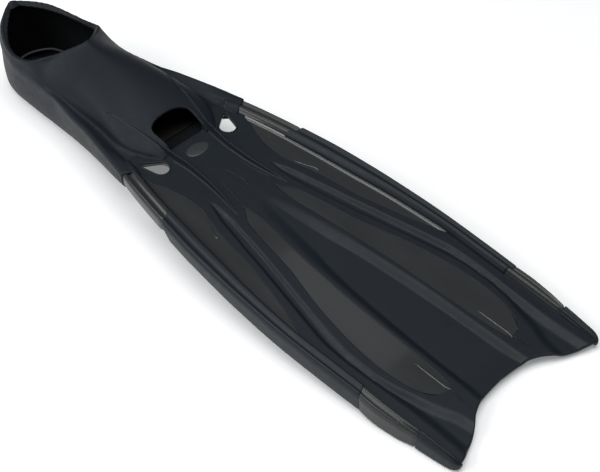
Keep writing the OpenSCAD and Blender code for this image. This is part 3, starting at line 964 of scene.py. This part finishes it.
def paint_inside_shade(mesh):
    """Gives the faces inside the pocket the second material, a near-black rubber that paints the shade inside
    the pocket.
    """
    x, y, z = read(mesh.polygons, "center", 3).T / MM
    u = x - HEEL_X / MM
    half = cavity_half(u)
    low, middle, roof = cavity_levels(u)
    drop = unit((middle - z) / (middle - low))
    rise = unit((z - middle) / (roof - middle + 1))
    upper = np.abs(y) < (half + 1) * (1 - rise ** (2 / shoulder(u))) ** (peak(u) / 2)
    lower = (np.abs(y) < half * (0.7 + 0.3 * np.sqrt(1 - drop**2)) + 1) & (z > low - 1)
    inside = np.where(z > middle, upper, lower) & (u > 3) & (u < 248.5) & (z < rim_z(u) - 0.8)
    mesh.polygons.foreach_set("material_index", inside.astype(np.int32))


def foot_pocket():
    """The soft shoe of the fin, moulded in one with its wings."""
    body = new_object("pocket_shell", *pocket_body())
    cut(body, cavity(), mouth_cut(), window_cut(), *(wing_end_cut(s) for s in SIDES.values()))
    beads = [tube(rim_path(), 1.5, 14, closed=True), window_bead()]
    beads += [wing_stub(s) for s in SIDES.values()]
    extra = new_object("pocket_beads", *joined(beads))
    bm = bmesh.new()
    bm.from_mesh(body.data)
    bm.from_mesh(extra.data)
    bm.to_mesh(body.data)
    bm.free()
    bpy.data.objects.remove(extra)
    remoulded(body, voxel=1.25, passes=6)
    for side in SIDES.values():
        # The vent itself, and under the blade a wider way out through the sole
        cut(body, vent_prism(side, 0.3), vent_prism(side, 6, top=41.9))
    dress(body, POCKET_RUBBER, sharp=60)
    # The second material paints the shade inside the pocket.
    body.data.materials.append(INSIDE_SHADE)
    paint_inside_shade(body.data)
    return body


def heel_tab():
    """The pointed lug at the top of the heel, for pulling the pocket on."""
    z = np.array([0, 0.12, 0.3, 0.5, 0.7, 0.85, 0.95, 1.0])
    long = np.array([4.6, 4.3, 3.8, 3.2, 2.6, 2.0, 1.3, 0.2])
    wide = np.array([11, 9.6, 7.8, 6.0, 4.6, 3.4, 2.2, 0.3])
    a = np.arange(32) * 2 * math.pi / 32
    rings = [np.stack([4.0 - 2.2 * h + r * np.cos(a) * 0.8, w * np.sin(a), np.full(32, 75.0 + 5.0 * h)], -1)
             for h, r, w in zip(z, long, wide)]
    obj = new_object("pull_tab", *loft(np.stack(rings)), POCKET_RUBBER)
    modifier = obj.modifiers.new("round", "SUBSURF")
    modifier.levels = modifier.render_levels = 2
    return dress(applied(obj), POCKET_RUBBER, sharp=80)


strake_y = line(
    (183, 38), (200, 35), (222, 31), (250, 26), (265, 24.2), (280, 23), (300, 23.5), (320, 25.5), (348, 30.5))
strake_rise = line((183, -1.2), (195, 0.4), (222, 2.2), (244, 2.6), (252, 2.8))
strake_high = line((250, 8.6), (265, 7.2), (280, 6), (300, 5), (320, 4), (338, 2), (348, 0.1))
# Half of the rib's section, as shares of its half-width and its height
STRAKE_SIDE = [(0.12, 0.95), (0.22, 0.75), (0.36, 0.38), (0.62, 0.10), (0.98, 0.0), (1.0, -1.0)]
STRAKE_SECTION = [(-s, t) for s, t in STRAKE_SIDE[::-1]] + [(0, 1.0)] + STRAKE_SIDE


def strake(name, side):
    """A thin sharp rib from the top of the pocket out over the blade's root."""
    us = stations(183, 347.5, 2.0)
    y = strake_y(us)
    deck = plane_z(us) + WEB_TOP - 0.1
    share = ease((us - 246) / 10)
    on_pocket = np.array([float(roof_at(min(u, 252), w)) for u, w in zip(us, y)])
    crest = (1 - share) * (on_pocket + strake_rise(us)) + share * (deck + strake_high(us))
    base = (1 - share) * (on_pocket - 0.4) + share * deck
    high = np.maximum(crest - base, 0.05)
    half = 1.3 + 1.6 * unit(high / 8)
    rings = []
    for u, w, b, h, r in zip(us, y, base, high, half):
        ring = [(u, side * (w + s * r), b + (t * h if t > 0 else 1.2 * t)) for s, t in STRAKE_SECTION]
        rings.append(ring if side > 0 else ring[::-1])
    return new_object(f"strake_rib_{name}", *loft(np.array(rings)), STRAKE_RUBBER, sharp=50)


BED_FROM, BED_TO, BED_SHARE = 12.5, 200, 0.80


def bed_edge(u):
    """How far the foot bed's edge stands up: high round the heel, low towards the toes."""
    return 2.2 + 10 * ease((105 - u) / 70)


def insole():
    """The foot bed, dished, with a raised edge round the heel."""
    us = stations(BED_FROM, BED_TO, 2.5, (0.4, 1, 1.8))
    end = np.sqrt(np.clip(1 - (np.clip(26 - us, 0, None) / 13.8) ** 2, 0.02, 1))
    half = BED_SHARE * cavity_half(us) * end
    t = np.linspace(-1, 1, 41)
    u = np.repeat(us[:, None], 41, 1)
    y = half[:, None] * t[None]
    curl = np.maximum(np.abs(t)[None] ** 8, (np.clip(24 - u, 0, None) / 12) ** 4)
    curl = unit(curl) * bed_edge(u)
    under = sole_z(u) + 1.35 + 0.75 * curl
    top = sole_z(u) + 3.6 + curl - 1.1 * ease(np.abs(t)[None] * 6 - 5)
    return shell_piece("insole", u, y, top, under, SHADED_BED_RUBBER)


def insole_edge():
    """The raised edge round the heel of the foot bed, in a paler rubber that paints its highlight."""
    back, front = 14.2, 112
    us = back + (front - back) * (1 - np.cos(np.linspace(0, math.pi / 2, 26)))
    end = np.sqrt(unit(1 - (np.clip(28 - us, 0, None) / 13.8) ** 2))
    side = [(u, BED_SHARE * float(cavity_half(u)) * e, float(sole_z(u) + 2.6 + bed_edge(u)))
            for u, e in zip(us, end)]
    path = [(u, -y, z) for u, y, z in side[::-1]] + side[1:]
    path = catmull(np.array(path)[None], 3, closed=False)[0]
    radius = 1.3 * np.sqrt(np.clip(1 - np.linspace(-1, 1, len(path)) ** 10, 0.003, 1))
    return new_object("insole_edge", *tube(path, radius, 12), BED_EDGE_HIGHLIGHT)


HEEL_GRIP, BALL_GRIP = (16, 109), (112, 178)
GRIP_THICK, GRIP_PITCH = 3.0, 7


def flat_top(u):
    return np.full_like(u, GRIP_THICK)


def grip(name, u_from, u_to, half, top):
    """A tread pad whose underside is cut into cross ribs with a lengthwise channel."""
    us = stations(u_from, u_to, 0.8)
    t = np.linspace(-1, 1, 49)
    u = np.repeat(us[:, None], 49, 1)
    y = half(us)[:, None] * t[None]
    phase = 2 * math.pi * (u - u_from) / GRIP_PITCH + 0.35 * np.abs(y)
    wave = ease(2.2 * (0.5 + 0.5 * np.cos(phase)) - 0.4)
    border = np.maximum(np.abs(t)[None] ** 12, ease(1 - (u - u_from) / 3) + ease(1 - (u_to - u) / 3))
    pattern = 1.1 * wave * (1 - unit(border))
    channel = 1.1 * ease(1 - np.abs(y) / 2.2) * (1 - unit(border))
    corner = rounded(half(us)[:, None] - np.abs(y), 1.2)
    under = top(u) - GRIP_THICK + np.maximum(pattern, channel) + corner
    return shell_piece(name, u, y, top(u) + 0.4, under, TREAD_RUBBER)


def round_half(u_from, u_to, front, back):
    """Half-width of a pad with round ends, back at its heel end and front at its toe end."""
    def half(us):
        width = back + (front - back) * (us - u_from) / (u_to - u_from)
        for k in (unit((us - u_from) / back), unit((u_to - us) / front)):
            width = width * np.sqrt(np.clip(1 - (1 - k) ** 2, 0.01, 1))
        return width
    return half


# ---- the whole fin
NODE_LENGTHS = (("root", "mid"), ("mid", "fore"), ("fore", "tip"))


def nodes_of(n, *kinds):
    """The CAD nodes of these kinds that lie under one length of the visible blade."""
    names = [f"{kind}_{length}" for kind in kinds for length in NODE_LENGTHS[n]]
    return [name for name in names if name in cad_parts]


def build_blade():
    for n in range(3):
        under_web = nodes_of(n, "centre_channel", *(f"side_channel_{name}" for name in SIDES))
        place(rubber_web(n), under_web + (["root_skin"] if n == 0 else []))
        for name, side in SIDES.items():
            label = f"inner_panel_{name}"
            inner = panel(n, side, INNER_WINDOW, inner_window_in, inner_window_out, f"{label}_skin")
            place(inner, nodes_of(n, label))
            label = f"outer_panel_{name}"
            outer = panel(n, side, OUTER_WINDOW, outer_window, rail_foot, f"{label}_skin", fillet=True)
            if outer:
                place(outer, nodes_of(n, label))
            place(rail_cover(n, name, side), nodes_of(n, f"rail_{name}"))
            place(hard_rib(n, name, side), nodes_of(n, f"rib_{name}"))
    place(root_plate(), ["blade_root"])


# Small raised marks on the blade, as (u, y) paths; the first two are mirrored
OUTER_TICK = [(333, 54.6), (342, 57.6), (350, 61), (353.5, 62.2), (356.5, 61.8)]
INNER_TICK = [(557, 40), (573, 40.2), (588, 40.2), (592.5, 39.6), (595, 38.6)]
FLOW_MARKS = {
    "left": [(300, 19), (310, 19.4), (320, 20.4), (329, 22.6), (334, 23.6)],
    "right": [(307, -13), (316, -14.2), (325, -15.2), (331, -16.2), (336, -17.6)],
    "centre": [(297, 0), (305, 2), (313, 3.4), (321, 4), (328, 2)],
}


def build_trim():
    for name, side in SIDES.items():
        place(horn(name, side), [f"horn_{name}"], body="blade_tip")
        place(strake(name, side), [f"strake_{name}"])
        place(vent_lip(name, side), body="foot")
        tick, hook = ([(u, side * y) for u, y in path] for path in (OUTER_TICK, INNER_TICK))
        place(panel_rib(f"outer_tick_{name}", tick, 1.3, PLASTIC))
        place(panel_rib(f"inner_tick_{name}", hook, 1.1, PLASTIC))
    for name, path in FLOW_MARKS.items():
        mark = panel_rib(f"flow_mark_{name}", path, 0.9, WEB_RUBBER, WEB_TOP - 0.25)
        place(mark)
    place(gate_pad(), ["gate_pad"], body="foot")


def build_pocket():
    place(foot_pocket(), ["foot_pocket"], body="foot")
    place(heel_tab(), ["heel_tab"], body="foot")
    place(insole(), ["foot_bed"], body="foot")
    place(insole_edge(), body="foot")
    heel = grip("heel_grip", *HEEL_GRIP, round_half(*HEEL_GRIP, 23, 20), flat_top)
    place(heel, ["heel_tread"], body="foot")
    ball = grip("ball_grip", *BALL_GRIP, round_half(*BALL_GRIP, 24, 20), low_mid)
    place(ball, ["ball_tread"], body="foot")
    sole = bpy.data.objects["sole_plate"].data.materials
    sole.clear()
    sole.append(SOLE_PLASTIC)


# ---- camera, light and floor
def aimed(name, data, where, ahead):
    """A camera or light that looks along a direction."""
    obj = bpy.data.objects.new(name, data)
    obj.location = where
    obj.rotation_mode = "QUATERNION"
    obj.rotation_quaternion = ahead.to_track_quat("-Z", "Y")
    SCENE.collection.objects.link(obj)
    return obj


def camera():
    data = bpy.data.cameras.new("camera")
    data.lens, data.sensor_width = 87, 36
    azimuth, elevation = math.radians(43.943), math.radians(43.099)
    level = math.cos(elevation)
    back = Vector((math.sin(azimuth) * level, -math.cos(azimuth) * level, math.sin(elevation)))
    SCENE.camera = aimed("camera", data, (0.7053, -0.6593, 0.8775), -back)


def softbox(name, where, target, size, power):
    data = bpy.data.lights.new(name, "AREA")
    data.shape, data.size, data.size_y, data.energy = "RECTANGLE", size[0], size[1], power
    aimed(name, data, where, Vector(target) - Vector(where))


def studio():
    softbox("key", (-0.6, -1.15, 1.05), (0.05, 0, 0.03), (1.5, 0.7), 15)
    softbox("top", (0.3, -0.1, 2.6), (0.3, -0.1, 0), (2.4, 2.4), 56)
    # A narrow strip that the glossy panels show as one soft patch
    softbox("strip", (-0.227, 0.58, 0.966), (-0.227, 0.58, 0), (0.27, 0.08), 0.04)
    world = bpy.data.worlds.new("studio")
    world.use_nodes = True
    sky = world.node_tree.nodes["Background"].inputs
    sky["Color"].default_value, sky["Strength"].default_value = (0.85, 0.93, 1.0, 1), 0.06
    SCENE.world = world
    SCENE.view_settings.view_transform = "Standard"


def floor():
    pale = (0.93, 0.93, 0.93)
    material, tree, surface = shader("floor", pale, 0.7, Specular_IOR_Level=0.1, Emission_Strength=0.22)
    surface.inputs["Emission Color"].default_value = (0.97, 0.985, 1, 1)
    where = tree.nodes.new("ShaderNodeTexCoord").outputs["Object"]
    grain = noise(tree, where, 40)
    tint = mixed(tree, grain, (0.925, 0.925, 0.925), (0.935, 0.935, 0.935))
    tree.links.new(tint, surface.inputs["Base Color"])
    size, drop = 4000, -0.2
    corners = [(-size, -size, drop), (size, -size, drop), (size, size, drop), (-size, size, drop)]
    new_object("floor", corners, [(0, 1, 2, 3)], material)


camera()
studio()
floor()
build_blade()
build_trim()
build_pocket()
